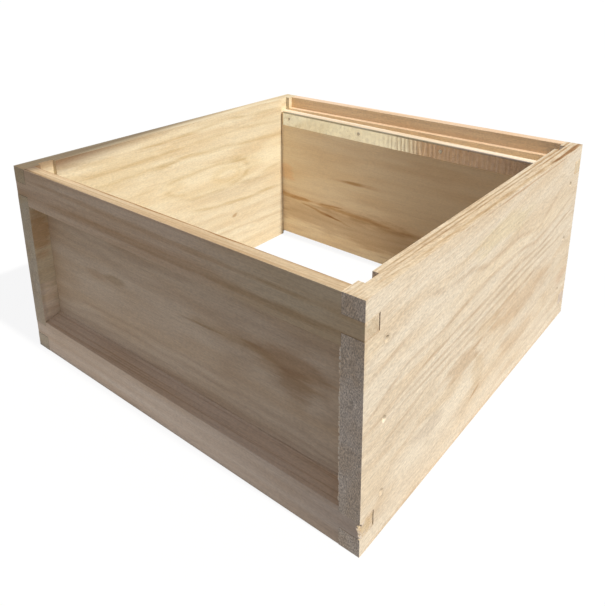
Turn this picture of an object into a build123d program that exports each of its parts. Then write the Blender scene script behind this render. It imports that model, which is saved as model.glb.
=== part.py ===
from build123d import *
import os

# Brood box of a National hive, in millimetres: two plain side walls, two end panels set back
# and housed in grooves, a rebated top rail and a bevelled bottom rail at each end, and a metal
# runner inside each end for the lugs of the frames. X runs from the left side wall to the right
# one, Y from the front end to the rear end, and Z up. The origin is at the centre of the box,
# on the ground.

# The whole box
box_width = 460.0               # over the side walls
box_depth = 460.0               # from end to end
box_height = 225.0

# Side walls
wall_thickness = 20.0

# End panels and the grooves that house their ends
panel_thickness = 18.0
panel_setback = 20.0            # from the end of the box to the panel's outer face
panel_foot_gap = 0.5            # under the panel's lower edge
panel_top_drop = 24.5           # from the top of the box to the panel's upper edge
rear_panel_rise = 5.5           # by which the rear panel's left end sits higher than its right end
groove_depth = 6.0
groove_clearance = 0.1          # on each face of the panel
groove_end_gap = 0.5            # between the panel's end and the bottom of the groove

# Rails, as thick as the panel is set back
rail_height = 43.5
rail_shoulder_gap = 0.1         # between the rail's shoulder and the side wall
lip_thickness = 13.0            # the part of the top rail above its inner ledge
lip_height = 16.0
bevel_fall = 6.0                # of the bottom rail's upper face, from the panel outwards

# Fingers of the rails, and their notches in the side walls
finger_height = 15.0
finger_edge_distance = 17.5     # from the upper or lower edge of the wall
finger_cheek = 2.0              # taken off the back of the rail to leave the finger
finger_clearance = 0.15         # above and below the finger
finger_back_gap = 1.0           # behind the finger

# Frame runners, metal strips with a rolled upper edge
runner_height = 22.0
runner_thickness = 0.8
runner_stand = 2.8              # above the panel's upper edge, at the right end
rear_runner_rise = 4.6          # by which the rear runner's left end sits higher than its right end
runner_end_gap = 4.0            # to each side wall
bead_radius = 1.0               # of the rolled edge

# Nails that hold the runners to the panels
nail_count = 4
nail_end_distance = 11.0        # from the runner's end to the first nail
nail_head_radius = 2.6
nail_head_height = 1.0
nail_crown_radius = 1.5         # of the flat on the head, inside its sloping rim
nail_shank_radius = 0.9
nail_tip_cover = 3.0            # of wood left beyond the nail's tip

# Brads driven through the side walls into the ends of the panels
brad_count = 3
brad_low_height = 44.0          # of the lowest brad
brad_top_distance = 42.0        # from the top of the box to the highest brad
front_brad_drop = 2.5           # by which the front panel's brads sit lower than these heights
brad_length = 40.0
brad_head_radius = 1.4
brad_head_height = 1.0
brad_shank_radius = 0.9
brad_sink = 1.75                # of the head below the wall's face
brad_dent_radius = 3.2          # of the dent around the head, at the wall's face

# Holes for nails and brads
hole_clearance = 0.05           # around a shank or a head
tip_clearance = 0.5             # beyond a tip

# Places worked out from the sizes above
half_width = box_width / 2
half_depth = box_depth / 2
wall_inner = half_width - wall_thickness
panel_outer = half_depth - panel_setback
panel_inner = panel_outer - panel_thickness
panel_middle = (panel_outer + panel_inner) / 2
panel_length = 2 * (wall_inner + groove_depth - groove_end_gap)
panel_height = box_height - panel_top_drop - panel_foot_gap
groove_width = panel_thickness + 2 * groove_clearance
groove_middle = wall_inner + groove_depth / 2
rail_thickness = panel_setback
rail_length = 2 * (wall_inner - rail_shoulder_gap)
ledge_height = box_height - lip_height
finger_thickness = rail_thickness - finger_cheek
finger_middle = half_depth - finger_thickness / 2
low_finger_height = finger_edge_distance + finger_height / 2
high_finger_height = box_height - low_finger_height
notch_depth = finger_thickness + finger_back_gap
notch_height = finger_height + 2 * finger_clearance
notch_middle = half_depth - notch_depth / 2
runner_length = 2 * (wall_inner - runner_end_gap)
runner_top = box_height - panel_top_drop + runner_stand
runner_middle = runner_top - runner_height / 2
runner_face = panel_inner - runner_thickness
nail_length = runner_thickness + panel_thickness - nail_tip_cover
nail_spacing = (runner_length - 2 * nail_end_distance) / (nail_count - 1)
nail_hole_radius = nail_shank_radius + hole_clearance
brad_spacing = (box_height - brad_top_distance - brad_low_height) / (brad_count - 1)
brad_hole_radius = brad_shank_radius + hole_clearance
brad_bore_radius = brad_head_radius + hole_clearance
brad_reach = brad_sink + brad_length - (half_width - panel_length / 2)

# Each side's direction along X, and each end's direction along Y with the rise of its panel and runner
# and the drop of its brads
SIDES = (("left", -1), ("right", 1))
ENDS = (("front", -1, 0.0, 0.0, front_brad_drop), ("rear", 1, rear_panel_rise, rear_runner_rise, 0.0))

os.makedirs("parts", exist_ok=True)


def save(piece, name):
    """Label a finished piece and write it to its own file."""
    piece.part.label = name
    export_step(piece.part, f"parts/{name}.step")


def slant(length, rise):
    """The line from the left end of a level or tilted strip to its right end."""
    return Vector(length, 0, -rise)


def brad_places(side, end, drop, x):
    """Planes at the height of each brad of one corner, at a distance x out, that look outwards."""
    heights = [brad_low_height + number * brad_spacing - drop for number in range(brad_count)]
    return [Plane((side * x, end * panel_middle, height), z_dir=(side, 0, 0)) for height in heights]


def nail_places(end, rise, y):
    """Planes at each nail of one runner, at a distance y out, that look into the box."""
    places = []
    for number in range(nail_count):
        x = nail_end_distance + number * nail_spacing - runner_length / 2
        height = runner_middle + rise * (runner_length / 2 - x) / runner_length
        places.append(Plane((x, end * y, height), z_dir=(0, -end, 0)))
    return places


# Side walls, with a groove for each panel, a notch for each finger and dented holes for the brads
for side_name, side in SIDES:
    with BuildPart() as side_wall:
        with BuildSketch(Plane.XY):
            with Locations((side * (wall_inner + wall_thickness / 2), 0)):
                Rectangle(wall_thickness, box_depth)
            with Locations((side * groove_middle, 0)):
                with GridLocations(0, 2 * panel_middle, 1, 2):
                    Rectangle(groove_depth, groove_width, mode=Mode.SUBTRACT)
        extrude(amount=box_height)
        with BuildSketch(Plane.YZ):
            with Locations((0, box_height / 2)):
                with GridLocations(2 * notch_middle, high_finger_height - low_finger_height, 2, 2):
                    Rectangle(notch_depth, notch_height)
        extrude(amount=side * half_width, mode=Mode.SUBTRACT)
        for _, end, _, _, brad_drop in ENDS:
            with Locations(*brad_places(side, end, brad_drop, half_width)):
                CounterBoreHole(brad_hole_radius, brad_bore_radius, brad_sink + brad_head_height,
                                wall_thickness)
                Cone(brad_bore_radius, brad_dent_radius, brad_sink,
                     align=(Align.CENTER, Align.CENTER, Align.MAX), mode=Mode.SUBTRACT)
    save(side_wall, f"{side_name}_side_wall")

for end_name, end, panel_rise, runner_rise, brad_drop in ENDS:

    # End panel, with holes for the runner's nails and, in its ends, for the brads
    panel_run = slant(panel_length, panel_rise)
    with BuildPart() as end_panel:
        with BuildSketch(Plane.YZ.offset(-panel_length / 2)):
            with Locations((end * panel_middle, panel_foot_gap + panel_rise + panel_height / 2)):
                Rectangle(panel_thickness, panel_height)
        extrude(amount=panel_run.length, dir=panel_run)
        with Locations(*nail_places(end, runner_rise, panel_inner)):
            Hole(nail_hole_radius, nail_length - runner_thickness + tip_clearance)
        for _, side in SIDES:
            with Locations(*brad_places(side, end, brad_drop, panel_length / 2)):
                Hole(brad_hole_radius, brad_reach + tip_clearance)
    save(end_panel, f"{end_name}_end_panel")

    # Top rail, rebated on its inner side above a ledge
    with BuildPart() as top_rail:
        with BuildSketch(Plane.YZ):
            with BuildLine():
                Polyline(
                    (end * half_depth, box_height - rail_height),
                    (end * half_depth, box_height),
                    (end * (half_depth - lip_thickness), box_height),
                    (end * (half_depth - lip_thickness), ledge_height),
                    (end * panel_outer, ledge_height),
                    (end * panel_outer, box_height - rail_height),
                    close=True,
                )
            make_face()
        extrude(amount=rail_length / 2, both=True)
        with BuildSketch(Plane.YZ):
            with Locations((end * finger_middle, high_finger_height)):
                Rectangle(finger_thickness, finger_height)
        extrude(amount=half_width, both=True)
    save(top_rail, f"{end_name}_top_rail")

    # Bottom rail, with an upper face that falls outwards
    with BuildPart() as bottom_rail:
        with BuildSketch(Plane.YZ):
            with BuildLine():
                Polyline(
                    (end * half_depth, 0),
                    (end * half_depth, rail_height - bevel_fall),
                    (end * panel_outer, rail_height),
                    (end * panel_outer, 0),
                    close=True,
                )
            make_face()
        extrude(amount=rail_length / 2, both=True)
        with BuildSketch(Plane.YZ):
            with Locations((end * finger_middle, low_finger_height)):
                Rectangle(finger_thickness, finger_height)
        extrude(amount=half_width, both=True)
    save(bottom_rail, f"{end_name}_bottom_rail")

    # Frame runner on the panel's inner face, with its bead towards the inside of the box
    runner_run = slant(runner_length, runner_rise)
    strip_height = runner_height - bead_radius
    with BuildPart() as frame_runner:
        with BuildSketch(Plane.YZ.offset(-runner_length / 2)):
            with Locations((end * (panel_inner - runner_thickness / 2),
                            runner_top - runner_height + runner_rise + strip_height / 2)):
                Rectangle(runner_thickness, strip_height)
            with Locations((end * (panel_inner - bead_radius), runner_top - bead_radius + runner_rise)):
                Circle(bead_radius)
        extrude(amount=runner_run.length, dir=runner_run)
        with Locations(*nail_places(end, runner_rise, runner_face)):
            Hole(nail_hole_radius, runner_thickness)
    save(frame_runner, f"{end_name}_frame_runner")

    # Nails through the runner into the panel
    with BuildPart() as runner_nails:
        with Locations(*nail_places(end, runner_rise, runner_face)):
            Cone(nail_head_radius, nail_crown_radius, nail_head_height,
                 align=(Align.CENTER, Align.CENTER, Align.MIN))
            Cylinder(nail_shank_radius, nail_length, align=(Align.CENTER, Align.CENTER, Align.MAX))
    save(runner_nails, f"{end_name}_runner_nails")

    # Brads through each side wall into this panel, with their heads below the wall's face
    for side_name, side in SIDES:
        with BuildPart() as brads:
            with Locations(*brad_places(side, end, brad_drop, half_width - brad_sink)):
                Cylinder(brad_head_radius, brad_head_height, align=(Align.CENTER, Align.CENTER, Align.MAX))
                Cylinder(brad_shank_radius, brad_length, align=(Align.CENTER, Align.CENTER, Align.MAX))
        save(brads, f"{side_name}_{end_name}_brads")
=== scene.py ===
import math
import random

import bmesh
import bpy
from mathutils import Matrix, Vector


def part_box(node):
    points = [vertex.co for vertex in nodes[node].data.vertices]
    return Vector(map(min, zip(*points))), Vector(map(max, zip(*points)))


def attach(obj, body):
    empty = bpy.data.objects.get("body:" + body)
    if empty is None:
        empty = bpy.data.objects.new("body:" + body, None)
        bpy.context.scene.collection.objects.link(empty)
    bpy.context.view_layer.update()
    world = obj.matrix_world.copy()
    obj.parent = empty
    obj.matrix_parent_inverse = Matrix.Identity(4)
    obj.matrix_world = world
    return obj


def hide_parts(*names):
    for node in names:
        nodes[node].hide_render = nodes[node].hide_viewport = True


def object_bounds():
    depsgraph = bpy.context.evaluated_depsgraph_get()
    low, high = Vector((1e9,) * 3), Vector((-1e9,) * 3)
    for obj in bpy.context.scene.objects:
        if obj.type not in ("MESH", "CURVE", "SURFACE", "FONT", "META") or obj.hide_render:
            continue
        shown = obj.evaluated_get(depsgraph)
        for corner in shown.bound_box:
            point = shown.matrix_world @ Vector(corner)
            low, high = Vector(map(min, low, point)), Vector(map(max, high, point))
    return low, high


# The looks of a brood box of bare pine: camera, light and floor, then the pine of each board with its marks,
# the torn fibres and splinters that the saw left, and the metal pieces. Lengths are in metres. The colours
# of pine and metal are screen colours from 0 to 255, and a tint above 255 lightens.

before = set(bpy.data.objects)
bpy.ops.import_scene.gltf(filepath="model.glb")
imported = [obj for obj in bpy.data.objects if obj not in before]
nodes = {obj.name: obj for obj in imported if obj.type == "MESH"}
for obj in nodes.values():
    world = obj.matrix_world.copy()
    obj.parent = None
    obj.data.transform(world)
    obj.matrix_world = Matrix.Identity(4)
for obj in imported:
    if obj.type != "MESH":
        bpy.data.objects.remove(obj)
cad_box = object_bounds()

# Camera, as found from the corners of the box
CAMERA_PLACE = (0.4406, -0.5535, 0.4489)
CAMERA_HEADING = 39.03          # degrees to the left of +Y
CAMERA_PITCH = 18.09            # degrees below the horizon
CAMERA_ROLL = -0.32             # degrees
CAMERA_SENSOR = 36.0            # millimetres, along the height of the picture
CAMERA_LENS = 38.75             # millimetres
CAMERA_SHIFT = (-0.004, -0.235)

# Light, in linear colours
KEY_AZIMUTH = 1.2               # degrees from +X towards +Y
KEY_ELEVATION = 47.0            # degrees
KEY_SOFTNESS = 2.0              # degrees, the width of the lamp as the box sees it
KEY_STRENGTH = 3.85             # watts per square metre
KEY_COLOUR = (1.0, 0.97, 0.91)
SKY_COLOUR = (0.98, 0.96, 1.10)
SKY_STRENGTH = 0.34
BACKDROP_STRENGTH = 1.0         # of the sky as the camera sees it

# Floor, in linear colours
FLOOR_HALF_SIZE = 30.0
FLOOR_NEAR = (0.60, 0.58, 0.55, 1.0)       # as the box is lit by it, up to this far from its pale place
FLOOR_NEAR_REACH = 0.26
FLOOR_FAR = (0.16, 0.15, 0.14, 1.0)        # and from this far
FLOOR_FAR_REACH = 0.52
FLOOR_PALE_PLACE = (-0.14, 0.0, 0.0)
FLOOR_SHOWN = (0.10, 0.10, 0.10, 1.0)      # as the camera sees it, on top of its glow
FLOOR_GLOW = 0.89

# Faces of the box that carry marks: the axis that a face lies across, and its place on that axis
RIGHT_FACE = ("X", cad_box[1].x)
FRONT_FACE = ("Y", cad_box[0].y)
TOP_FACE = ("Z", cad_box[1].z)
LEFT_INNER_FACE = ("X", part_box("left_side_wall")[1].x)
FRONT_PANEL_FACE = ("Y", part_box("front_end_panel")[0].y)
REAR_PANEL_FACE = ("Y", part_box("rear_end_panel")[0].y)

# Mesh work on the wooden pieces
WELD_DISTANCE = 1e-6
FLAT_ANGLE = 1.0                # degrees, up to which faces are joined into one
ARRIS_WIDTH = 0.0005
ARRIS_SEGMENTS = 2
ARRIS_ANGLE = 30.0              # degrees, above which an edge is eased

# Pine
MIDDLE = (0.3, 0.7)             # the part of a pattern from 0 to 1 in which most of it lies
FACING = (0.6, 0.9)             # cosines between which a face comes to look along the grain, or up or down
CRISP_RINGS = ((0.0, 0.40), (0.10, 0.0), (0.45, 0.05), (0.76, 0.50), (0.92, 1.0), (1.0, 0.75))
SOFT_RINGS = ((0.0, 0.55), (0.20, 0.15), (0.40, 0.0), (0.62, 0.30), (0.82, 0.85), (1.0, 0.60))
RING_WOBBLE = 0.5               # of the rings over short lengths, in rings
BOLD_RINGS = 7.0                # rings over which their boldness changes
RING_STRENGTHS = (0.4, 1.0)     # of the weakest and the strongest ring
END_RINGS = 0.35                # share of the rings' contrast that the end grain shows
TONE_TINT = (243, 231, 214)     # of broad patches
STREAK_TINT = (226, 212, 196)   # of long streaks
THREAD_TINT = (214, 194, 168)   # of fine lines
EDGE_THREADS = 0.5              # strength of the fine lines on the faces that look up or down
FIBRE_LEVEL = 0.98              # mean brightness of the fibres
FUZZ_SHARE = 0.8                # contrast of the short fuzz between the fibres, as a share of theirs
CANAL_COLOUR = (140, 104, 70)   # of resin canals
CANAL_STRENGTH = 0.25
LINE_OVERLAP = 1.9              # length of each piece of a grain line, as a share of its run
LINE_RAGGEDNESS = 0.5           # how far the edge of a line or a loop wavers, as a share of its half size
STAIN_RAGGEDNESS = 0.8          # and the edge of a stain
STAIN_EDGE = (1.1, 0.4)         # shares of a stain's half size between which it sets in
SMOOTH_HEIGHT = 0.1             # half height from which a stain has no ragged edge
END_TINT = (248, 250, 255)
END_SPECKS = (0.66, 1.16)       # the darkest and the lightest speck of the end grain
FIBRE_RELIEF = 0.5
RING_RELIEF = 0.35
END_RELIEF = 1.5
RELIEF_DEPTH = 0.0004
RELIEF_STRENGTH = 0.35
RING_ROUGHNESS = (0.64, 0.52)   # of early and late wood
PINE_SPECULAR = 0.3

# Marks on the boards. A place on a face is two coordinates, along the axes that the face lies along.
# Bundles: distance from the pith, half width, rings added, boldness added
# Swirls: place, half length, half height, rings added
# Loops: place, half length, half height, thickness, tint, strength
# Lines: half height, strength, points in order along the grain
# Stains and threads, painted shade and painted light among them: place, half length, half height, lean in
# degrees, tint, strength
# Shades, painted shadows and tones that darken one way: point, direction, distance, tint

# Right side wall
RIGHT_BUNDLES = ((0.107, 0.010, 3.4, 0.2), (0.139, 0.022, 1.8, 0.12))
RIGHT_SWIRLS = (
    (-0.015, 0.080, 0.040, 0.016, 1.5),
    (-0.139, 0.176, 0.070, 0.040, -1.7),
    (-0.045, 0.172, 0.060, 0.030, 0.6),
    (0.043, 0.170, 0.045, 0.030, -0.6),
    (0.111, 0.172, 0.060, 0.040, 1.5),
    (0.185, 0.176, 0.060, 0.040, -1.0),
)
RIGHT_LINE_TINT = (222, 209, 196)
RIGHT_LINES = (
    (0.0050, 0.50, ((-0.229, 0.153), (-0.155, 0.171))),
    (0.0050, 0.60, (
        (-0.135, 0.186), (-0.105, 0.179), (-0.060, 0.178), (-0.028, 0.169), (0.050, 0.170), (0.105, 0.161),
        (0.172, 0.188),
    )),
    (0.0040, 0.70, (
        (-0.229, 0.121), (-0.170, 0.142), (-0.110, 0.1425), (-0.060, 0.149), (-0.010, 0.153), (0.062, 0.152),
        (0.100, 0.1465), (0.145, 0.150), (0.226, 0.168),
    )),
    (0.0035, 0.50, ((-0.229, 0.112), (-0.145, 0.1245))),
    (0.0035, 0.85, (
        (-0.145, 0.1245), (-0.090, 0.129), (0.000, 0.132), (0.055, 0.1375), (0.117, 0.135), (0.150, 0.139),
        (0.226, 0.150),
    )),
    (0.0030, 0.80, ((-0.200, 0.113), (-0.050, 0.1195), (0.035, 0.126), (0.160, 0.130))),
    (0.0030, 0.70, ((-0.190, 0.107), (-0.040, 0.1125), (0.080, 0.120), (0.190, 0.123))),
    (0.0035, 0.60, ((-0.200, 0.088), (-0.140, 0.099), (-0.030, 0.104), (0.180, 0.112))),
)
RIGHT_STAINS = (
    (0.075, 0.091, 0.105, 0.019, 2.0, (239, 227, 214), 0.85),
    (-0.064, 0.083, 0.042, 0.013, 0.0, (230, 217, 203), 0.85),
    (-0.158, 0.085, 0.065, 0.013, 5.0, (243, 238, 232), 0.8),
    (-0.028, 0.056, 0.016, 0.024, 0.0, (243, 237, 228), 0.8),
    (-0.033, 0.034, 0.020, 0.0018, 20.0, (228, 212, 196), 0.9),
    (0.075, 0.047, 0.055, 0.014, 0.0, (241, 233, 225), 0.8),
    (-0.128, 0.054, 0.035, 0.014, 0.0, (237, 234, 232), 0.9),
    (0.015, 0.193, 0.085, 0.014, 0.0, (249, 246, 234), 0.9),
    (0.060, 0.161, 0.200, 0.010, 0.0, (264, 267, 269), 0.8),
    (-0.015, 0.099, 0.035, 0.008, 2.0, (240, 230, 217), 0.8),
    (-0.100, 0.069, 0.050, 0.009, 0.0, (243, 236, 226), 0.8),
    (-0.220, 0.184, 0.016, 0.009, 0.0, (264, 266, 266), 0.9),
    (0.205, 0.060, 0.026, 0.013, 0.0, (246, 236, 230), 0.8),
    (0.000, 0.020, 0.300, 0.030, 0.0, (249, 247, 245), 0.8),
    (0.070, 0.2225, 0.170, 0.0012, 0.0, (214, 184, 154), 0.6),
    (0.000, 0.000, 0.300, 0.005, 0.0, (241, 231, 219), 0.7),
)
RIGHT_FRONT_STAINS = ((0.220, 0.190, 0.004, 0.050, 0.0, (244, 240, 234), 0.8),)
RIGHT_TOP_STAINS = (
    (0.226, 0.000, 0.300, 0.0020, 0.2, (232, 222, 208), 0.9),
    (0.2268, 0.190, 0.060, 0.0030, -0.3, (190, 160, 130), 1.0),
    (0.2195, 0.160, 0.080, 0.0018, 0.5, (226, 206, 182), 0.9),
    (0.2145, 0.160, 0.090, 0.0022, 0.3, (228, 210, 188), 0.9),
)
RIGHT_TOP_THREADS = (
    (0.2150, 0.0, 0.300, 0.0012, 0.0, (206, 188, 166), 0.8),
    (0.2190, 0.0, 0.300, 0.0010, 0.0, (206, 188, 166), 0.8),
)

# Dents around the sunk heads of the right wall's brads
BRAD_HEAD_RADIUS = 0.0014
DENT_RADIUS = 0.0050
DENT_TINT = (232, 230, 226)
DENT_STRENGTH = 0.8

# Left side wall
LEFT_LOOPS = (
    (0.045, 0.141, 0.083, 0.0175, 0.36, (238, 229, 208), 0.35),
    (0.069, 0.137, 0.024, 0.0095, 0.60, (246, 240, 225), 0.6),
)
LEFT_LINE_TINT = (224, 211, 184)
LEFT_LINES = (
    (0.0045, 0.60, ((-0.090, 0.2085), (-0.013, 0.2115), (0.075, 0.2185), (0.115, 0.2150), (0.185, 0.2135))),
    (0.0050, 0.50, ((-0.163, 0.1930), (-0.098, 0.1932), (-0.010, 0.1958), (0.100, 0.1990), (0.185, 0.1938))),
    (0.0060, 0.65, ((-0.130, 0.1775), (-0.050, 0.1785), (-0.010, 0.1818), (0.079, 0.1785), (0.187, 0.1718))),
    (0.0045, 0.50, ((-0.105, 0.1500), (-0.050, 0.1535), (0.002, 0.1545), (0.045, 0.1565), (0.102, 0.1505))),
    (0.0090, 0.60, ((0.081, 0.1550), (0.103, 0.1500), (0.115, 0.1400))),
    (0.0070, 0.60, ((0.068, 0.1195), (0.100, 0.1235), (0.115, 0.1330))),
    (0.0060, 0.25, ((-0.046, 0.1430), (-0.030, 0.1330), (-0.005, 0.1250))),
    (0.0050, 0.50, ((-0.005, 0.1200), (0.025, 0.1175), (0.080, 0.1165), (0.148, 0.1120))),
    (0.0050, 0.80, ((0.005, 0.1000), (0.045, 0.0935), (0.110, 0.0890), (0.185, 0.0880))),
    (0.0050, 0.60, ((0.150, 0.1215), (0.185, 0.1245))),
)
LEFT_STAINS = (
    (-0.110, 0.190, 0.100, 0.025, 0.0, (246, 240, 229), 0.8),
    (0.165, 0.150, 0.040, 0.028, 0.0, (262, 266, 270), 0.8),
    (0.090, 0.108, 0.100, 0.012, 0.0, (246, 246, 248), 0.8),
    (0.081, 0.068, 0.007, 0.0028, 12.0, (206, 184, 162), 0.8),
)
LEFT_FRONT_STAINS = (
    (-0.220, 0.035, 0.006, 0.085, 0.0, (234, 233, 237), 0.9),
    (-0.220, 0.205, 0.006, 0.030, 0.0, (255, 248, 233), 0.9),
)
LEFT_TOP_STAINS = ((-0.2170, 0.150, 0.080, 0.0100, 0.0, (266, 268, 270), 0.9),)
# In the left wall's front recess: darker and redder high up under the top rail, and lighter lower down as
# painted light from the floor
LEFT_RECESS_TONE_AND_PAINTED_LIGHT = (
    (-0.222, 0.150, 0.016, 0.034, 0.0, (238, 218, 200), 0.9),
    (-0.222, 0.055, 0.016, 0.036, 0.0, (276, 276, 290), 0.9),
)
# Painted shadow: the left wall's top edge is greyed towards the front
LEFT_TOP_PAINTED_SHADOW = (((-0.220, -0.018), (9.5, 1.0, 0.0), 0.120, (159, 156, 155)),)
# On the left wall's inner face: a painted shadow along its top towards the front, and a tone that grows
# darker towards the bottom
LEFT_PAINTED_SHADOW_AND_LOW_TONE = (
    ((-0.185, 0.213), (-1.2, 0.1, -1.0), 0.0110, (164, 148, 140)),
    ((0.100, 0.100), (0.0, 0.0, 1.0), 0.050, (247, 249, 255)),
)

# Front end panel
FRONT_PANEL_BUNDLES = ((0.120, 0.006, 2.0, 0.3),)
FRONT_PANEL_SWIRLS = ((-0.092, 0.121, 0.040, 0.012, 1.2), (0.150, 0.113, 0.060, 0.026, 1.5))
FRONT_PANEL_STAINS = (
    (0.142, 0.124, 0.055, 0.022, 0.0, (237, 228, 217), 0.9),
    (0.151, 0.108, 0.020, 0.022, 0.0, (236, 227, 216), 0.8),
    (0.148, 0.129, 0.045, 0.014, 0.0, (247, 241, 236), 0.8),
    (0.085, 0.124, 0.060, 0.006, 0.0, (241, 234, 222), 0.8),
    (0.037, 0.122, 0.034, 0.0018, 2.0, (230, 220, 207), 0.8),
    (-0.093, 0.1240, 0.022, 0.006, 0.0, (237, 231, 219), 0.8),
    (-0.125, 0.1195, 0.020, 0.007, 0.0, (244, 237, 230), 0.8),
)

# Rear end panel
REAR_PANEL_SWIRLS = ((-0.175, 0.150, 0.055, 0.022, 3.0),)
REAR_PANEL_STAINS = (
    (-0.073, 0.118, 0.022, 0.0030, 0.0, (222, 204, 180), 0.9),
    (-0.073, 0.118, 0.046, 0.0040, 0.0, (242, 232, 220), 0.9),
    (-0.185, 0.071, 0.050, 0.0042, -1.5, (240, 222, 198), 0.9),
    (-0.080, 0.067, 0.120, 0.0036, -2.5, (238, 224, 204), 0.9),
    (-0.130, 0.057, 0.055, 0.0030, -10.0, (224, 200, 172), 0.9),
    (-0.110, 0.072, 0.025, 0.0020, 3.0, (220, 196, 168), 0.9),
    (-0.105, 0.053, 0.022, 0.0022, -8.0, (220, 196, 168), 0.9),
    (-0.020, 0.064, 0.150, 0.008, -2.0, (238, 228, 217), 0.9),
    # A broad patch that makes the panel darker towards the bottom
    (-0.050, 0.044, 0.260, 0.032, -2.0, (226, 217, 208), 0.9),
    (-0.200, 0.110, 0.016, 0.018, 0.0, (253, 238, 224), 0.8),
)
# Painted shade: the rear panel's faces grow darker over its right part
REAR_PANEL_PAINTED_SHADE = ((0.170, 0.100, 0.270, 0.300, 0.0, (230, 225, 218), 0.9),)

# Rails
RAIL_PITH_BEHIND = 0.09         # from the middle of a rail to its pith
RAIL_PITH_BELOW = 0.11
RAIL_END_SPECKS = (0.76, 1.32)
AMBER_LATE = (202, 163, 118)    # late wood of the rear top rail and the rear panel
ASHEN_EARLY, ASHEN_LATE = (225, 211, 193), (186, 158, 130)      # of the bottom rails
FRONT_RAIL_TOP_STAINS = ((0.0, -0.217, 0.300, 0.0022, 0.0, (196, 160, 118), 0.9),)
FRONT_RAIL_STAINS = (
    (0.0, 0.2100, 0.330, 0.0034, -1.0, (238, 229, 216), 0.8),
    (0.0, 0.1930, 0.330, 0.0050, -0.6, (240, 232, 220), 0.8),
)
FRONT_RAIL_FINGER_STAINS = ((-0.221, 0.200, 0.004, 0.012, 0.0, (244, 250, 248), 0.9),)
FRONT_RAIL_PALE_STAINS = ((-0.160, -0.2195, 0.055, 0.005, 0.0, (272, 273, 275), 0.9),)
# Painted shadows on the front top rail's top: over its left end, and along its front arris towards the left
# end
FRONT_RAIL_TOP_PAINTED_SHADOWS = (
    ((-0.199, -0.2235), (1.0, 0.0, 0.0), 0.014, (163, 160, 166)),
    ((-0.190, -0.2285), (0.012, 1.0, 0.0), 0.0015, (189, 185, 179)),
)
FRONT_RAIL_SHADES = (((0.100, 0.200), (-1.0, 0.0, 0.0), 0.080, (243, 246, 238)),)
REAR_RAIL_FINGER_STAINS = ((0.221, 0.200, 0.004, 0.012, 0.0, (228, 236, 244), 0.9),)
BOTTOM_RAIL_FINGER_STAINS = ((-0.221, 0.025, 0.012, 0.012, 0.0, (254, 245, 217), 0.9),)

# Torn pine, in threads
THREADS_PER_METRE = 900.0
TORN_ROUGHNESS = (0.55, 0.75)
SPLIT_STOPS = ((0.35, (238, 210, 156)), (0.5, (250, 233, 192)), (0.65, (255, 250, 232)))
# The torn fibres' near-white tones are pale pine and partly painted sunlight
TEAR_STOPS_AND_PAINTED_LIGHT = ((0.35, (250, 228, 194)), (0.5, (255, 242, 216)), (0.65, (255, 252, 238)))

# Fibres torn from the inner edge of the right wall's front end
TEAR_SEED = 5
TEAR_ROOT = 0.0007              # depth of their roots in the wood
TEAR_HALF_WIDTHS = (0.0006, 0.0030)
TEAR_HALF_DEPTH = 0.0002
TEAR_REACHES = (0.0013, 0.0024)             # from root to tip, into the recess
TEAR_LEANS = (0.0, 0.0004)                  # and forwards
TEAR_STEPS = (0.8, 1.8)                     # from one to the next, in half widths
TEAR_BLUNTNESS = 0.6            # size of a tip, as a share of the root

# The split corner of the right finger of the front bottom rail, and the splinters that stand in it
FINGER_BOTTOM = 0.0175          # of the finger above the rail's foot
FINGER_HEIGHT = 0.0150
FINGER_TIP = 0.0080             # length of the finger's end that is made anew
CHIP_WIDTH = 0.0040             # of the split along the rail, at its widest
CHIP_DEPTH = 0.0034             # and along the wall
CHIP_SHARES = (0.35, 0.20, 0.45, 0.35, 0.60, 0.85, 1.00, 0.65, 0.20)     # of both, from below upwards
SPLINTER_SEED = 8
SPLINTER_COUNT = 22
SPLINTER_ROOT = 0.0015          # depth of the splinters' roots behind the split
SPLINTER_PLACES = (0.0, 0.7)    # from the front of the split inwards, as a share of its depth
SPLINTER_HALF_HEIGHTS = (0.00015, 0.0005)
SPLINTER_HALF_DEPTHS = (0.0001, 0.0003)
SPLINTER_REACHES = (0.1, 0.9)               # past the split, as a share of its width there
SPLINTER_DRIFT = 1.5                        # of a tip up or down, in half heights
SPLINTER_BLUNTNESS = (0.1, 0.5)
SQUARE = ((-1, -1), (1, -1), (1, 1), (-1, 1))       # corners of a sliver's section, in half sizes

# Frame runners
RUNNER_HEIGHT = 0.022
SPANGLES_PER_METRE = 220.0
SPANGLE_STOPS = ((0.0, (231, 237, 240)), (1.0, (246, 253, 255)))
# Painted reflection: the runner is warmer and darker to the right, where it mirrors the shaded brown wood
PAINTED_REFLECTION_TINT = (241, 221, 211)
PAINTED_REFLECTION_SPAN = (0.010, 0.045)      # along X, over which the painted reflection sets in
SPOT_SIZE = 0.0012
SPOT_TINT = (190, 180, 160)
SPOT_STRENGTHS = (0.1, 0.7)     # where spots are few, and where they are many
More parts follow.
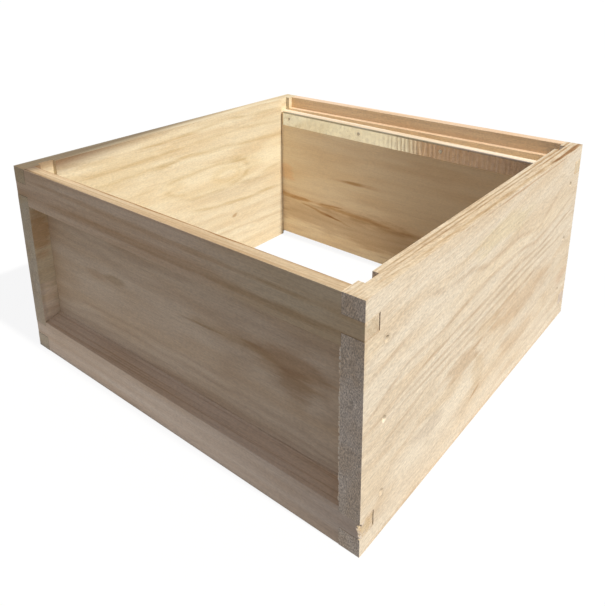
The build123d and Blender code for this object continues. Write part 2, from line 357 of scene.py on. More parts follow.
# Grime and painted shade along the rolled edge: a dark, dull, barely metallic line
GRIME_AND_SHADE_COLOUR = (180, 170, 142)
GRIME_AND_SHADE_HEIGHT = 0.0034           # of the line of grime and painted shade along the rolled edge
GRIME_AND_SHADE_FULL_HEIGHT = 0.0022      # of its darkest part
GRIME_AND_SHADE_STRENGTHS = (0.75, 1.0)   # of its thin and its thick patches
GRIME_AND_SHADE_FADE = (0.02, 0.14)       # along X, over which it fades
GRIME_AND_SHADE_FADED = 0.5               # share of it that is left there
RIPPLE_PITCH = 0.0067           # of the runner's upright ripples
RIPPLE_SWAY = 9.0               # by which noise shifts them, in radians
RIPPLE_HEIGHT = 0.0002
RIPPLE_RISE = (-0.06, 0.02)     # along X, over which they grow
RIPPLE_STRENGTHS = (0.06, 0.44)             # before and after that
RIPPLE_FADE = (0.03, 0.10)      # along X, over which they fade
RIPPLE_FADED = 0.4              # share of them that is left there
ZINC_ROUGHNESS = (0.16, 0.24)

# Nails and brads: dark and light steel, and how metallic it is
DULL_SPOTS_PER_METRE = 900.0
STEEL_ROUGHNESS = (0.55, 0.40)
# The nails' steel is pale and barely metallic, partly as a painted glint
NAIL_STEEL_AND_GLINT = ((238, 226, 198), (255, 249, 224), 0.1)
BRAD_STEEL = ((188, 184, 172), (226, 222, 210), 0.4)


def srgb(red, green, blue):
    """A screen colour, as the linear colour that shaders take."""
    def linear(value):
        share = value / 255
        return share / 12.92 if share <= 0.04045 else ((share + 0.055) / 1.055) ** 2.4
    return (linear(red), linear(green), linear(blue), 1.0)


def point_on(face, first, second):
    """The point of a face with these coordinates along its own two axes, in the order X, Y, Z."""
    axis, value = face
    point = [first, second]
    point.insert("XYZ".index(axis), value)
    return tuple(point)


def grain_line(grain, rise=0.0, sway=0.0):
    """The direction of the grain, which may rise upwards or sway sideways by some degrees."""
    up, side = math.tan(math.radians(rise)), math.tan(math.radians(sway))
    return Vector((1, side, up)) if grain == "X" else Vector((side, 1, up))


class Graph:
    """A material's node tree, and short calls that add nodes to it and give their output."""

    def __init__(self, name):
        self.material = bpy.data.materials.new(name)
        self.material.use_nodes = True
        self.tree = self.material.node_tree
        self.tree.nodes.clear()

    def add(self, kind, inputs, output=0, **settings):
        """Adds a node of a kind, with these inputs, each a number, a colour or another node's output."""
        made = self.tree.nodes.new("ShaderNode" + kind)
        for setting, value in settings.items():
            setattr(made, setting, value)
        for socket, value in inputs.items():
            if isinstance(value, bpy.types.NodeSocket):
                self.tree.links.new(value, made.inputs[socket])
            else:
                made.inputs[socket].default_value = value
        return made.outputs[output]

    def math(self, operation, *values, clamp=False):
        return self.add("Math", dict(enumerate(values)), operation=operation, use_clamp=clamp)

    def vector(self, operation, *values):
        output = "Value" if operation in ("LENGTH", "DOT_PRODUCT") else "Vector"
        return self.add("VectorMath", dict(enumerate(values)), output, operation=operation)

    def noise(self, place, along, across, upward=None, detail=2.0, roughness=0.5):
        """Noise from 0 to 1 whose features are that long along the first axis, across it and upwards."""
        stretched = self.vector("MULTIPLY", place, (1 / along, 1 / across, 1 / (upward or across)))
        inputs = {"Vector": stretched, "Scale": 1.0, "Detail": detail, "Roughness": roughness}
        return self.add("TexNoise", inputs)

    def span(self, value, ends, to=(0.0, 1.0), smooth=True):
        """The value's place between two ends, drawn onto another range."""
        inputs = {0: value, 1: ends[0], 2: ends[1], 3: to[0], 4: to[1]}
        return self.add("MapRange", inputs, interpolation_type="SMOOTHSTEP" if smooth else "LINEAR")

    def ramp(self, value, stops):
        """A ramp through stops, each of them a place with a grey level or a screen colour."""
        made = self.add("ValToRGB", {"Fac": value})
        elements = made.node.color_ramp.elements
        while len(elements) < len(stops):
            elements.new(0.5)
        for element, (place, level) in zip(elements, stops):
            element.position = place
            element.color = srgb(*level) if isinstance(level, tuple) else (level, level, level, 1.0)
        return made

    def mix(self, share, first, second, blend="MIX"):
        inputs = {0: share, 6: first, 7: second}
        return self.add("Mix", inputs, 2, data_type="RGBA", blend_type=blend)

    def grey(self, value):
        return self.add("CombineXYZ", {0: value, 1: value, 2: value})

    def finish(self, **shader):
        """Ends the tree in one principled shader with these inputs."""
        inputs = {name.replace("_", " "): value for name, value in shader.items()}
        surface = self.add("BsdfPrincipled", inputs)
        self.add_output(surface)
        return self.material

    def add_output(self, surface):
        output = self.tree.nodes.new("ShaderNodeOutputMaterial")
        self.tree.links.new(surface, output.inputs["Surface"])


class Pine(Graph):
    """Bare planed pine.

    A board's grain runs nearly along X or Y. Its growth rings lie around a pith, which runs with the grain
    at some place across the board, so that the faces and the end grain show the same rings. The rings are
    counted, made to swirl and drawn, then the wood is coloured, its marks are laid on and it is finished.
    """

    def __init__(self, name, grain, pith, rise, sway, seed):
        """Sets a board out around a point on its pith.

        rise, sway  degrees by which the pith leaves the grain upwards and sideways
        seed        a number that sets its patterns apart from those of other boards
        """
        super().__init__(name)
        self.grain = grain
        self.rise = rise
        self.seed = seed
        coordinates = self.tree.nodes.new("ShaderNodeTexCoord").outputs
        self.place = coordinates["Object"]
        self.normal = coordinates["Normal"]
        self.board = self.local(pith, grain_line(grain, rise, sway))
        self.shifted = self.vector("ADD", self.board, (seed, seed, seed))

    def local(self, centre, direction, half_sizes=(1, 1, 1)):
        """The place seen from a centre, with the first axis along a direction, in shares of half sizes."""
        turn = direction.to_track_quat("X", "Z").to_euler()
        inputs = {"Vector": self.place, "Location": centre, "Rotation": turn, "Scale": half_sizes}
        return self.add("Mapping", inputs, vector_type="TEXTURE")

    def away(self, centre, half_length, half_height, lean):
        """The distance from the centre of an oval that leans with the grain, in shares of its half sizes."""
        half_sizes = (half_length, half_height, half_height)
        return self.vector("LENGTH", self.local(centre, grain_line(self.grain, lean), half_sizes))

    def pattern(self, along, across, ends, to=(0.0, 1.0), detail=2.0):
        """Noise with features of this length and width on the board, drawn from two ends onto a range."""
        return self.span(self.noise(self.shifted, along, across, detail=detail), ends, to)

    def tint(self, share, tint):
        """Multiplies the colour by a share of a tint."""
        self.colour = self.mix(share, self.colour, srgb(*tint), "MULTIPLY")

    def count_rings(self, width, wave, wave_length, bold, bundles=()):
        """Counts the growth rings of this width outwards from the pith.

        wave     how far the rings wander, in rings, over the wave length
        bold     the faintest and the boldest late wood, from 0 to 1
        bundles  bands with more rings or bolder ones
        """
        radius = self.vector("LENGTH", self.vector("MULTIPLY", self.board, (0, 1, 1)))
        count = self.math("DIVIDE", radius, width)
        wander = self.math("MULTIPLY", self.noise(self.shifted, along=wave_length, across=0.05), wave)
        wobble = self.math("MULTIPLY", self.noise(self.shifted, along=0.03, across=0.010), RING_WOBBLE)
        count = self.math("ADD", count, self.math("ADD", wander, wobble))
        counted = self.add("CombineXYZ", {0: count, 1: self.seed})
        boldness = self.span(self.noise(counted, along=BOLD_RINGS, across=1.0), (0.35, 0.65), bold)
        for distance, half_width, rings, bolder in bundles:
            across = self.span(radius, (distance - half_width, distance + half_width))
            count = self.math("ADD", count, self.math("MULTIPLY", across, rings))
            aside = self.math("ABSOLUTE", self.math("SUBTRACT", radius, distance))
            inside = self.span(aside, (1.5 * half_width, 0.7 * half_width), (0.0, bolder))
            boldness = self.math("ADD", boldness, inside)
        self.count = count
        self.boldness = boldness

    def swirl(self, face, swirls):
        """Makes the rings bulge around places on a face."""
        for first, second, half_length, half_height, rings in swirls:
            away = self.away(point_on(face, first, second), half_length, half_height, self.rise)
            bulge = self.span(away, (1.0, 0.0))
            self.count = self.math("ADD", self.count, self.math("MULTIPLY", bulge, rings))

    def draw_rings(self, profile):
        """Draws the late wood, which comes and goes within each ring as the profile says."""
        number = self.math("ADD", self.math("FLOOR", self.count), self.seed)
        strength = self.add("TexWhiteNoise", {"W": number}, noise_dimensions="1D")
        strength = self.span(strength, (0.0, 1.0), RING_STRENGTHS, smooth=False)
        strength = self.math("MULTIPLY", strength, self.boldness)
        self.broken = self.pattern(along=0.045, across=0.0022, ends=MIDDLE, to=(0.6, 1.0))
        shape = self.ramp(self.math("FRACT", self.count), profile)
        self.rings = self.math("MULTIPLY", shape, self.math("MULTIPLY", strength, self.broken), clamp=True)

    def colour_wood(self, early, late, streaks=0.1, fine=0.1, fibres=0.09, edge_tint=(250, 246, 238)):
        """Colours the rings, and lays slow changes of tone, fine lines, fibres and resin canals over them.

        early, late  the colours of a ring's early and late wood
        streaks      how much the tone changes in long broad streaks, from 0 to 1
        fine         how much it changes in fine lines, from 0 to 1
        fibres       how much the fibres lighten or darken it
        edge_tint    the tone of the board's edges, the faces that look up or down; on the rear panel also a painted highlight
        """
        facing = self.vector("DOT_PRODUCT", self.normal, tuple(grain_line(self.grain)))
        self.end = self.span(self.math("ABSOLUTE", facing), FACING)
        contrast = self.span(self.end, (0.0, 1.0), (1.0, END_RINGS), smooth=False)
        self.colour = self.mix(self.math("MULTIPLY", self.rings, contrast), srgb(*early), srgb(*late))

        # Tone, streaks and fine lines
        tone = self.pattern(along=0.14, across=0.022, ends=(0.38, 0.68), to=(0.0, 0.5))
        self.tint(tone, TONE_TINT)
        streak = self.pattern(along=0.6, across=0.009, ends=(0.32, 0.68), to=(0.0, streaks))
        self.tint(streak, STREAK_TINT)
        upright = self.math("ABSOLUTE", self.add("SeparateXYZ", {"Vector": self.normal}, "Z"))
        self.edge = self.span(upright, FACING)
        thread = self.pattern(along=0.30, across=0.0018, ends=(0.45, 0.70), detail=1.0)
        threads = self.span(self.edge, (0.0, 1.0), (fine, EDGE_THREADS), smooth=False)
        self.tint(self.math("MULTIPLY", thread, threads), THREAD_TINT)
        self.tint(self.edge, edge_tint)

        # Fibres, fuzz and resin canals
        self.fibre = self.noise(self.shifted, along=0.014, across=0.0007, detail=3.0)
        levels = (FIBRE_LEVEL - fibres, FIBRE_LEVEL + fibres)
        shade = self.span(self.fibre, (0.25, 0.75), levels, smooth=False)
        fuzz = FUZZ_SHARE * fibres
        fuzz_shade = self.pattern(along=0.003, across=0.0015, ends=(0.25, 0.75), to=(-fuzz, fuzz))
        self.colour = self.mix(1.0, self.colour, self.grey(self.math("ADD", shade, fuzz_shade)), "MULTIPLY")
        canal = self.pattern(
            along=0.007, across=0.0006, ends=(0.72, 0.82), to=(0.0, CANAL_STRENGTH), detail=1.0,
        )
        self.colour = self.mix(canal, self.colour, srgb(*CANAL_COLOUR))

        # What the marks need: how their edges waver, and where the board's faces are
        waver = self.noise(self.shifted, along=0.04, across=0.006, detail=3.0)
        self.uneven = self.span(waver, (0.0, 1.0), (-LINE_RAGGEDNESS, LINE_RAGGEDNESS), smooth=False)
        self.ragged = self.span(waver, (0.0, 1.0), (-STAIN_RAGGEDNESS, STAIN_RAGGEDNESS), smooth=False)
        self.face = self.math("SUBTRACT", 1.0, self.math("MAXIMUM", self.end, self.edge))

    def draw_loops(self, face, loops):
        """Lays oval bands of late wood on a face."""
        for first, second, half_length, half_height, thickness, tint, amount in loops:
            away = self.away(point_on(face, first, second), half_length, half_height, self.rise)
            reach = self.math("ADD", away, self.uneven)
            aside = self.math("ABSOLUTE", self.math("SUBTRACT", reach, 1.0))
            self.tint(self.span(aside, (thickness, 0.0), (0.0, amount)), tint)

    def draw_lines(self, face, lines, tint):
        """Lays soft lines of late wood on a face, as pieces that overlap, broken like the rings."""
        unbroken = self.math("MULTIPLY", self.face, self.broken)
        for half_height, amount, points in lines:
            corners = [Vector(point_on(face, *point)) for point in points]
            for start, end in zip(corners, corners[1:]):
                run = end - start
                lean = math.degrees(math.atan2(run.z, math.hypot(run.x, run.y)))
                away = self.away(start + run / 2, LINE_OVERLAP * run.length / 2, half_height, lean)
                reach = self.math("ADD", away, self.uneven)
                share = self.math("MULTIPLY", self.span(reach, (1.0, 0.0), (0.0, amount)), unbroken)
                self.tint(share, tint)

    def stain(self, face, stains, where=None):
        """Lays patches of another tone on a face, all over the board or only where told; some of them are
        painted shade and painted light.
        """
        for first, second, half_length, half_height, lean, tint, amount in stains:
            reach = self.away(point_on(face, first, second), half_length, half_height, lean)
            if half_height < SMOOTH_HEIGHT:
                reach = self.math("ADD", reach, self.ragged)
            share = self.span(reach, STAIN_EDGE, (0.0, amount))
            if where is not None:
                share = self.math("MULTIPLY", share, where)
            self.tint(share, tint)

    def shade(self, face, shades, where):
        """Lays on tones that fade across the board, only where told: painted shadows, and tones that darken
        one way.

        A tone is half at its point, and fades along its direction over its distance on either side of it. A
        longer direction makes it fade faster.
        """
        for point, direction, distance, tint in shades:
            offset = self.vector("SUBTRACT", self.place, point_on(face, *point))
            beyond = self.vector("DOT_PRODUCT", offset, direction)
            share = self.span(beyond, (-distance, distance), (1.0, 0.0))
            self.tint(self.math("MULTIPLY", share, where), tint)

    def finish_wood(self, specks=END_SPECKS):
        """Lays on the specks of the sawn ends and the relief, and gives the material."""
        speck = self.noise(
            self.shifted, along=0.003, across=0.0007, upward=0.0018, detail=3.0, roughness=0.7,
        )
        end_colour = self.mix(1.0, self.colour, srgb(*END_TINT), "MULTIPLY")
        end_shade = self.span(speck, MIDDLE, specks, smooth=False)
        end_colour = self.mix(1.0, end_colour, self.grey(end_shade), "MULTIPLY")
        colour = self.mix(self.end, self.colour, end_colour)

        fibre_relief = self.math("MULTIPLY", self.fibre, FIBRE_RELIEF)
        relief = self.math("ADD", fibre_relief, self.math("MULTIPLY", self.rings, RING_RELIEF))
        end_relief = self.math("MULTIPLY", self.math("MULTIPLY", speck, self.end), END_RELIEF)
        relief = self.math("ADD", relief, end_relief)
        bump = self.add("Bump", {"Height": relief, "Distance": RELIEF_DEPTH, "Strength": RELIEF_STRENGTH})
        rough = self.span(self.rings, (0.0, 1.0), RING_ROUGHNESS, smooth=False)
        return self.finish(Base_Color=colour, Roughness=rough, Specular_IOR_Level=PINE_SPECULAR, Normal=bump)


def make_camera():
    """The camera, which looks down on the box's front right corner."""
    data = bpy.data.cameras.new("camera")
    data.sensor_fit = "VERTICAL"
    data.sensor_height = CAMERA_SENSOR
    data.lens = CAMERA_LENS
    data.shift_x, data.shift_y = CAMERA_SHIFT
    camera = bpy.data.objects.new("camera", data)
    bpy.context.scene.collection.objects.link(camera)
    turn = Matrix.Rotation(math.radians(CAMERA_HEADING), 4, "Z")
    tip = Matrix.Rotation(math.radians(90 - CAMERA_PITCH), 4, "X")
    roll = Matrix.Rotation(math.radians(CAMERA_ROLL), 4, "Z")
    camera.matrix_world = Matrix.Translation(CAMERA_PLACE) @ turn @ tip @ roll
    bpy.context.scene.camera = camera


def make_light():
    """One far lamp to the right of the box."""
    azimuth, elevation = math.radians(KEY_AZIMUTH), math.radians(KEY_ELEVATION)
    direction = Vector((
        math.cos(elevation) * math.cos(azimuth),
        math.cos(elevation) * math.sin(azimuth),
        math.sin(elevation),
    ))
    data = bpy.data.lights.new("key", "SUN")
    data.angle = math.radians(KEY_SOFTNESS)
    data.energy = KEY_STRENGTH
    data.color = KEY_COLOUR
    key = bpy.data.objects.new("key", data)
    bpy.context.scene.collection.objects.link(key)
    key.location = direction
    key.rotation_mode = "QUATERNION"
    key.rotation_quaternion = direction.to_track_quat("Z", "Y")


def make_sky():
    """A weak even sky, which the camera sees as a white backdrop."""
    world = bpy.data.worlds.new("sky")
    bpy.context.scene.world = world
    world.use_nodes = True
    tree = world.node_tree
    tree.nodes.clear()
    sky = tree.nodes.new("ShaderNodeBackground")
    sky.inputs["Color"].default_value = (*SKY_COLOUR, 1.0)
    sky.inputs["Strength"].default_value = SKY_STRENGTH
    backdrop = tree.nodes.new("ShaderNodeBackground")
    backdrop.inputs["Strength"].default_value = BACKDROP_STRENGTH
    backdrop.inputs["Color"].default_value = (1.0, 1.0, 1.0, 1.0)
    path = tree.nodes.new("ShaderNodeLightPath")
    either = tree.nodes.new("ShaderNodeMixShader")
    output = tree.nodes.new("ShaderNodeOutputWorld")
    tree.links.new(path.outputs["Is Camera Ray"], either.inputs["Fac"])
    tree.links.new(sky.outputs["Background"], either.inputs[1])
    tree.links.new(backdrop.outputs["Background"], either.inputs[2])
    tree.links.new(either.outputs["Shader"], output.inputs["Surface"])


def make_floor():
    """A floor that the camera sees as nearly white, and that lights the box most near its pale place."""
    half = FLOOR_HALF_SIZE
    data = bpy.data.meshes.new("floor")
    corners = [(-half, -half, 0), (half, -half, 0), (half, half, 0), (-half, half, 0)]
    data.from_pydata(corners, [], [(0, 1, 2, 3)])
    floor = bpy.data.objects.new("floor", data)
    bpy.context.scene.collection.objects.link(floor)
    g = Graph("floor")
    shown = g.add("AddShader", {
        0: g.add("BsdfDiffuse", {"Color": FLOOR_SHOWN}),
        1: g.add("Emission", {"Strength": FLOOR_GLOW}),
    })
    to_camera = g.add("LightPath", {}, "Is Camera Ray")
    place = g.add("TexCoord", {}, "Object")
    away = g.vector("LENGTH", g.vector("SUBTRACT", place, FLOOR_PALE_PLACE))
    far = g.span(away, (FLOOR_NEAR_REACH, FLOOR_FAR_REACH))
    bounced = g.add("BsdfDiffuse", {"Color": g.mix(far, FLOOR_NEAR, FLOOR_FAR)})
    surface = g.add("MixShader", {0: to_camera, 1: bounced, 2: shown})
    g.add_output(surface)
    data.materials.append(g.material)


def brad_dents(*brad_nodes):
    """Stains for the dents around the sunk heads of a side wall's brads."""
    dents = []
    for brads in brad_nodes:
        low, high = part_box(brads)
        middle = (low + high) / 2
        for height in (low.z + BRAD_HEAD_RADIUS, middle.z, high.z - BRAD_HEAD_RADIUS):
            dents.append((middle.y, height, DENT_RADIUS, DENT_RADIUS, 0.0, DENT_TINT, DENT_STRENGTH))
    return dents


def right_wall_pine():
    wall = Pine("right_wall_pine", "Y", pith=(0.150, -0.015, 0.058), rise=4.5, sway=1.5, seed=3.1)
    wall.count_rings(width=0.0078, wave=3.0, wave_length=0.11, bold=(0.06, 0.24), bundles=RIGHT_BUNDLES)
    wall.swirl(RIGHT_FACE, RIGHT_SWIRLS)
    wall.draw_rings(CRISP_RINGS)
    wall.colour_wood(early=(233, 221, 199), late=(192, 163, 128), fibres=0.14, edge_tint=(248, 244, 234))
    wall.draw_lines(RIGHT_FACE, RIGHT_LINES, RIGHT_LINE_TINT)
    wall.stain(RIGHT_FACE, RIGHT_STAINS)
    wall.stain(FRONT_FACE, RIGHT_FRONT_STAINS)
    wall.stain(TOP_FACE, RIGHT_TOP_STAINS)
    wall.stain(RIGHT_FACE, brad_dents("right_front_brads", "right_rear_brads"))
    wall.stain(TOP_FACE, RIGHT_TOP_THREADS, wall.edge)
    return wall.finish_wood(specks=(0.45, 1.58))


def left_wall_pine():
    wall = Pine("left_wall_pine", "Y", pith=(-0.3035, 0.042, 0.141), rise=-1.0, sway=0.6, seed=7.7)
    wall.count_rings(width=0.0090, wave=1.6, wave_length=0.2, bold=(0.35, 0.75))
    wall.draw_rings(SOFT_RINGS)
    wall.colour_wood(
        early=(231, 218, 187), late=(197, 169, 124), fine=0.08, fibres=0.085, edge_tint=(255, 254, 250),
    )
    wall.draw_loops(LEFT_INNER_FACE, LEFT_LOOPS)
    wall.draw_lines(LEFT_INNER_FACE, LEFT_LINES, LEFT_LINE_TINT)
    wall.stain(LEFT_INNER_FACE, LEFT_STAINS)
    wall.stain(FRONT_FACE, LEFT_FRONT_STAINS)
    wall.stain(TOP_FACE, LEFT_TOP_STAINS, wall.edge)
    wall.stain(LEFT_INNER_FACE, LEFT_RECESS_TONE_AND_PAINTED_LIGHT, wall.face)
    wall.shade(TOP_FACE, LEFT_TOP_PAINTED_SHADOW, wall.edge)
    wall.shade(LEFT_INNER_FACE, LEFT_PAINTED_SHADOW_AND_LOW_TONE, wall.face)
    return wall.finish_wood()


def front_panel_pine():
    panel = Pine("front_panel_pine", "X", pith=(0.0, -0.120, 0.118), rise=0.5, sway=1.0, seed=1.3)
    panel.count_rings(
        width=0.0085, wave=4.5, wave_length=0.25, bold=(0.20, 0.55), bundles=FRONT_PANEL_BUNDLES,
    )
    panel.swirl(FRONT_PANEL_FACE, FRONT_PANEL_SWIRLS)
    panel.draw_rings(SOFT_RINGS)
    # The front panel's pine is darker than the other boards', partly as painted shade
    panel.colour_wood(early=(224, 207, 181), late=(180, 152, 122))
    panel.stain(FRONT_PANEL_FACE, FRONT_PANEL_STAINS)
    return panel.finish_wood()


def rear_panel_pine():
    panel = Pine("rear_panel_pine", "X", pith=(0.0, 0.290, 0.150), rise=-0.8, sway=1.0, seed=5.9)
    panel.count_rings(width=0.0095, wave=3.0, wave_length=0.2, bold=(0.12, 0.45))
    panel.swirl(REAR_PANEL_FACE, REAR_PANEL_SWIRLS)
    panel.draw_rings(SOFT_RINGS)
    # The rear panel's pine is lighter than the other boards', partly as painted light inside the box; its
    # edge tint makes the lit top edge paler, a painted highlight
    panel.colour_wood(
        early=(250, 231, 196), late=AMBER_LATE, fine=0.06, fibres=0.05, edge_tint=(254, 264, 284),
    )
    panel.stain(REAR_PANEL_FACE, REAR_PANEL_STAINS)
    panel.stain(REAR_PANEL_FACE, REAR_PANEL_PAINTED_SHADE, panel.face)
    return panel.finish_wood()


def rail_pine(rail_name, early, late, seed, streaks, edge_tint):
    """Pine for a rail, still without its marks."""
    low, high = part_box(rail_name)
    middle = (low + high) / 2
    pith = (0.0, middle.y + RAIL_PITH_BEHIND, middle.z - RAIL_PITH_BELOW)
    rail = Pine(f"{rail_name}_pine", "X", pith, rise=0.4, sway=0.4, seed=seed)
    rail.count_rings(width=0.0095, wave=2.0, wave_length=0.4, bold=(0.25, 0.55))
    rail.draw_rings(SOFT_RINGS)
    rail.colour_wood(early, late, streaks=streaks, edge_tint=edge_tint)
    return rail


def front_top_rail_pine():
    rail = rail_pine(
        "front_top_rail", early=(236, 217, 190), late=(188, 158, 126), seed=2.2, streaks=0.5,
        edge_tint=(230, 225, 210),
    )
    rail.stain(TOP_FACE, FRONT_RAIL_TOP_STAINS)
    rail.stain(FRONT_FACE, FRONT_RAIL_STAINS)
    rail.stain(RIGHT_FACE, FRONT_RAIL_FINGER_STAINS)
    rail.stain(TOP_FACE, FRONT_RAIL_PALE_STAINS, rail.edge)
    rail.shade(TOP_FACE, FRONT_RAIL_TOP_PAINTED_SHADOWS, rail.edge)
    rail.shade(FRONT_FACE, FRONT_RAIL_SHADES, rail.face)
    return rail.finish_wood(RAIL_END_SPECKS)


def rear_top_rail_pine():
    # The rear top rail's pine is lighter, partly as painted light inside the box
    rail = rail_pine(
        "rear_top_rail", early=(252, 228, 189), late=AMBER_LATE, seed=4.4, streaks=0.2,
        edge_tint=(250, 248, 256),
    )
    rail.stain(RIGHT_FACE, REAR_RAIL_FINGER_STAINS)
    return rail.finish_wood(RAIL_END_SPECKS)


def rear_bottom_rail_pine():
    rail = rail_pine(
        "rear_bottom_rail", early=ASHEN_EARLY, late=ASHEN_LATE, seed=8.8, streaks=0.4,
        edge_tint=(250, 246, 238),
    )
    return rail.finish_wood(RAIL_END_SPECKS)


def front_bottom_rail_pine():
    rail = rail_pine(
        "front_bottom_rail", early=ASHEN_EARLY, late=ASHEN_LATE, seed=6.6, streaks=0.25,
        edge_tint=(254, 249, 240),
    )
    rail.stain(RIGHT_FACE, BOTTOM_RAIL_FINGER_STAINS)
    return rail.finish_wood(RAIL_END_SPECKS)


def torn(name, stops):
    """Pine where fibres were torn, in threads of several tones that run every way."""
    g = Graph(name)
    place = g.add("TexCoord", {}, "Object")
    thread = g.add("TexNoise", {"Vector": place, "Scale": THREADS_PER_METRE, "Detail": 2.0})
    colour = g.ramp(thread, stops)
    rough = g.span(thread, MIDDLE, TORN_ROUGHNESS)
    return g.finish(Base_Color=colour, Roughness=rough, Specular_IOR_Level=PINE_SPECULAR)


def zinc(runner_name):
    """Galvanised sheet for a runner, with a faint spangle, a painted reflection, upright ripples, and grime
    and painted shade at the rolled edge.
    """
    low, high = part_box(runner_name)
    slope = (high.z - low.z - RUNNER_HEIGHT) / (high.x - low.x)
    top = high.z + slope * low.x
    g = Graph(f"{runner_name}_zinc")
    place = g.add("TexCoord", {}, "Object")
    along = g.add("SeparateXYZ", {"Vector": place}, "X")
    height = g.add("SeparateXYZ", {"Vector": place}, "Z")

    # Spangle, a painted warm reflection to the right, and spots
    spangle = g.add("TexVoronoi", {"Vector": place, "Scale": SPANGLES_PER_METRE}, "Color")
    colour = g.ramp(g.add("SeparateColor", {"Color": spangle}), SPANGLE_STOPS)
    colour = g.mix(g.span(along, PAINTED_REFLECTION_SPAN), colour, srgb(*PAINTED_REFLECTION_TINT), "MULTIPLY")
    spots = g.span(g.noise(place, along=SPOT_SIZE, across=SPOT_SIZE, detail=1.0), (0.60, 0.72))
    spotty = g.span(g.noise(place, along=0.03, across=0.02), (0.45, 0.65), SPOT_STRENGTHS)
    colour = g.mix(g.math("MULTIPLY", spots, spotty), colour, srgb(*SPOT_TINT), "MULTIPLY")

    # Grime and painted shade along the rolled edge, which may slope
    levelled = g.math("ADD", height, g.math("MULTIPLY", along, slope))
    grime_and_shade = g.span(levelled, (top - GRIME_AND_SHADE_HEIGHT, top - GRIME_AND_SHADE_FULL_HEIGHT))
    patchy = g.span(g.noise(place, along=0.03, across=0.01), (0.3, 0.6), GRIME_AND_SHADE_STRENGTHS)
    fading = g.span(along, GRIME_AND_SHADE_FADE, (1.0, GRIME_AND_SHADE_FADED))
    grime_and_shade = g.math("MULTIPLY", grime_and_shade, g.math("MULTIPLY", patchy, fading))
    colour = g.mix(grime_and_shade, colour, srgb(*GRIME_AND_SHADE_COLOUR))

    # Ripples
    sway = g.math("MULTIPLY", g.noise(place, along=0.012, across=0.05), RIPPLE_SWAY)
    turns = g.math("ADD", g.math("MULTIPLY", along, 2 * math.pi / RIPPLE_PITCH), sway)
    ripple = g.span(g.math("SINE", turns), (-1.0, 1.0), smooth=False)
    rising = g.span(along, RIPPLE_RISE, RIPPLE_STRENGTHS)
    deep = g.math("MULTIPLY", rising, g.span(along, RIPPLE_FADE, (1.0, RIPPLE_FADED)))
    bump = g.add("Bump", {"Height": ripple, "Distance": RIPPLE_HEIGHT, "Strength": deep})
    rough = g.span(ripple, MIDDLE, ZINC_ROUGHNESS)
    bare = g.math("SUBTRACT", 1.0, grime_and_shade)
    return g.finish(Base_Color=colour, Metallic=bare, Roughness=rough, Normal=bump)


def steel(name, dark, light, metallic):
    """Nail wire, a little dulled; on the nails its pale colour is partly a painted glint."""
    g = Graph(name)
    place = g.add("TexCoord", {}, "Object")
    dull = g.add("TexNoise", {"Vector": place, "Scale": DULL_SPOTS_PER_METRE, "Detail": 3.0})
    colour = g.ramp(dull, tuple(zip(MIDDLE, (dark, light))))
    rough = g.span(dull, MIDDLE, STEEL_ROUGHNESS)
    return g.finish(Base_Color=colour, Metallic=metallic, Roughness=rough)


def clothe(piece, *materials):
    piece.data.materials.clear()
    for material in materials:
        piece.data.materials.append(material)


def ease_arrises(piece):
    """Joins the faces of a wooden piece at their edges and rounds its sharp arrises."""
    weld = piece.modifiers.new("join", "WELD")
    weld.merge_threshold = WELD_DISTANCE
    flat = piece.modifiers.new("flat", "DECIMATE")
    flat.decimate_type = "DISSOLVE"
    flat.angle_limit = math.radians(FLAT_ANGLE)
    flat.delimit = {"MATERIAL"}
    bevel = piece.modifiers.new("arris", "BEVEL")
    bevel.width = ARRIS_WIDTH
    bevel.segments = ARRIS_SEGMENTS
    bevel.limit_method = "ANGLE"
    bevel.angle_limit = math.radians(ARRIS_ANGLE)
    bevel.harden_normals = True


def add_piece(name, mesh):
    """A new piece of the box, made from a bmesh."""
    bmesh.ops.recalc_face_normals(mesh, faces=mesh.faces)
    data = bpy.data.meshes.new(name)
    mesh.to_mesh(data)
    mesh.free()
    piece = bpy.data.objects.new(name, data)
    bpy.context.scene.collection.objects.link(piece)
    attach(piece, "root")
    return piece


def add_sliver(mesh, root, tip, half_wide, half_deep, blunt):
    """A splinter from its root to its tip, which is as large as the blunt share of the root."""
    rims = []
    for place, share in ((root, 1.0), (tip, blunt)):
        corners = [place + share * (wide * half_wide + deep * half_deep) for wide, deep in SQUARE]
        rims.append([mesh.verts.new(corner) for corner in corners])
        mesh.faces.new(rims[-1])
    for number in range(len(SQUARE)):
        mesh.faces.new((rims[0][number - 1], rims[0][number], rims[1][number], rims[1][number - 1]))


def make_torn_fibres():
    """Fibres that the saw tore along the inner edge of the right wall's front end."""
    dice = random.Random(TEAR_SEED)
    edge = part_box("right_side_wall")[0]
    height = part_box("front_bottom_rail")[1].z
    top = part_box("front_top_rail")[0].z
    mesh = bmesh.new()
    while height < top:
        half_wide = dice.uniform(*TEAR_HALF_WIDTHS)
        root = Vector((edge.x + TEAR_ROOT, edge.y + TEAR_ROOT, height))
        inwards = dice.uniform(*TEAR_REACHES)
        forwards = dice.uniform(*TEAR_LEANS)
        upwards = dice.uniform(-1, 1) * half_wide
        tip = root + Vector((-inwards, -forwards, upwards))
        sides = Vector((0, 0, half_wide)), Vector((0, TEAR_HALF_DEPTH, 0))
        add_sliver(mesh, root, tip, *sides, blunt=TEAR_BLUNTNESS)
        height += half_wide * dice.uniform(*TEAR_STEPS)
    return add_piece("torn_fibres", mesh)


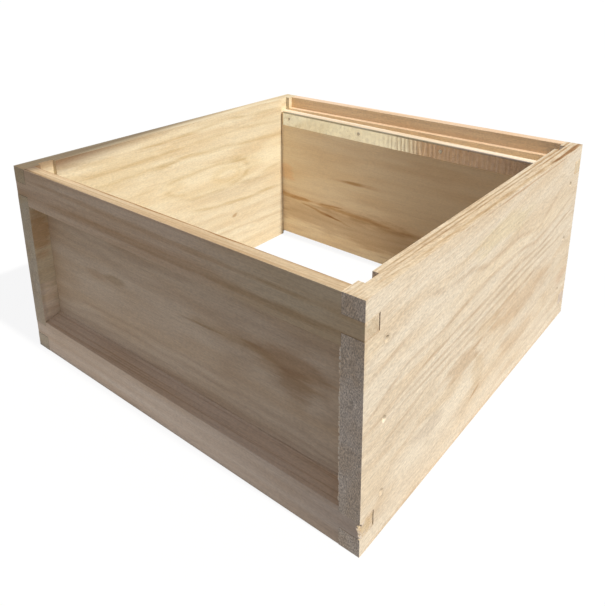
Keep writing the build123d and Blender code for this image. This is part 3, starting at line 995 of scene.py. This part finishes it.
def make_chipped_rail():
    """The front bottom rail with the outer corner of its right finger split off along a jagged line."""
    low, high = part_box("front_bottom_rail")
    mesh = bmesh.new()
    mesh.from_mesh(nodes["front_bottom_rail"].data)
    bmesh.ops.remove_doubles(mesh, verts=mesh.verts, dist=WELD_DISTANCE)
    bmesh.ops.dissolve_limit(
        mesh, angle_limit=math.radians(FLAT_ANGLE), verts=mesh.verts, edges=mesh.edges,
    )
    cut = bmesh.ops.bisect_plane(
        mesh, geom=mesh.verts[:] + mesh.edges[:] + mesh.faces[:], dist=WELD_DISTANCE,
        plane_co=(high.x - FINGER_TIP, 0, 0), plane_no=(1, 0, 0), clear_outer=True,
    )
    rim = [element for element in cut["geom_cut"] if isinstance(element, bmesh.types.BMVert)]
    rim.sort(key=lambda corner: (round(corner.co.y, 5), corner.co.z))
    front_foot, front_head, back_foot, back_head = rim
    end_foot = mesh.verts.new((high.x, back_foot.co.y, back_foot.co.z))
    end_head = mesh.verts.new((high.x, back_head.co.y, back_head.co.z))
    near, far = [], []
    for number, share in enumerate(CHIP_SHARES):
        height = front_foot.co.lerp(front_head.co, number / (len(CHIP_SHARES) - 1)).z
        near.append(mesh.verts.new((high.x - share * CHIP_WIDTH, low.y, height)))
        far.append(mesh.verts.new((high.x, low.y + share * CHIP_DEPTH, height)))
    mesh.faces.new((front_foot, *near, front_head))
    mesh.faces.new((end_foot, *far, end_head))
    mesh.faces.new((front_foot, back_foot, end_foot, far[0], near[0]))
    mesh.faces.new((front_head, back_head, end_head, far[-1], near[-1]))
    mesh.faces.new((back_foot, end_foot, end_head, back_head))
    for number in range(1, len(CHIP_SHARES)):
        split = mesh.faces.new((near[number - 1], far[number - 1], far[number], near[number]))
        split.material_index = 1
    rail = add_piece("chipped_bottom_rail", mesh)
    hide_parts("front_bottom_rail")
    return rail


def make_splinters():
    """Broken fibres of uneven length that stand where the finger's corner split off."""
    dice = random.Random(SPLINTER_SEED)
    low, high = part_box("front_bottom_rail")
    last = len(CHIP_SHARES) - 1
    mesh = bmesh.new()
    for _ in range(SPLINTER_COUNT):
        step = dice.randrange(1, last)
        inward = dice.uniform(*SPLINTER_PLACES)
        half_tall = dice.uniform(*SPLINTER_HALF_HEIGHTS)
        half_deep = dice.uniform(*SPLINTER_HALF_DEPTHS)
        width = CHIP_SHARES[step] * CHIP_WIDTH * (1 - inward)
        depth = max(half_deep, CHIP_SHARES[step] * CHIP_DEPTH * inward)
        height = low.z + FINGER_BOTTOM + FINGER_HEIGHT * (step + dice.uniform(-0.5, 0.5)) / last
        root = Vector((high.x - width - SPLINTER_ROOT, low.y + depth, height))
        reach = SPLINTER_ROOT + width * dice.uniform(*SPLINTER_REACHES)
        drift = dice.uniform(-SPLINTER_DRIFT, SPLINTER_DRIFT) * half_tall
        tip = root + Vector((reach, 0, drift))
        sides = Vector((0, 0, half_tall)), Vector((0, half_deep, 0))
        add_sliver(mesh, root, tip, *sides, blunt=dice.uniform(*SPLINTER_BLUNTNESS))
    return add_piece("finger_splinters", mesh)


make_camera()
make_light()
make_sky()
make_floor()
bpy.context.scene.view_settings.view_transform = "Standard"

clothe(nodes["right_side_wall"], right_wall_pine())
clothe(nodes["left_side_wall"], left_wall_pine())
clothe(nodes["front_end_panel"], front_panel_pine())
clothe(nodes["rear_end_panel"], rear_panel_pine())
clothe(nodes["front_top_rail"], front_top_rail_pine())
clothe(nodes["rear_top_rail"], rear_top_rail_pine())
clothe(nodes["rear_bottom_rail"], rear_bottom_rail_pine())

torn_pine = torn("torn_pine", SPLIT_STOPS)
chipped_rail = make_chipped_rail()
clothe(chipped_rail, front_bottom_rail_pine(), torn_pine)
clothe(make_splinters(), torn_pine)
clothe(make_torn_fibres(), torn("torn_fibre", TEAR_STOPS_AND_PAINTED_LIGHT))

nail_wire = steel("nail_wire", *NAIL_STEEL_AND_GLINT)
brad_wire = steel("brad_wire", *BRAD_STEEL)
for name, node in nodes.items():
    if name.endswith("runner"):
        clothe(node, zinc(name))
    elif name.endswith("nails"):
        clothe(node, nail_wire)
    elif name.endswith("brads"):
        clothe(node, brad_wire)
    elif name != "front_bottom_rail":
        ease_arrises(node)
ease_arrises(chipped_rail)
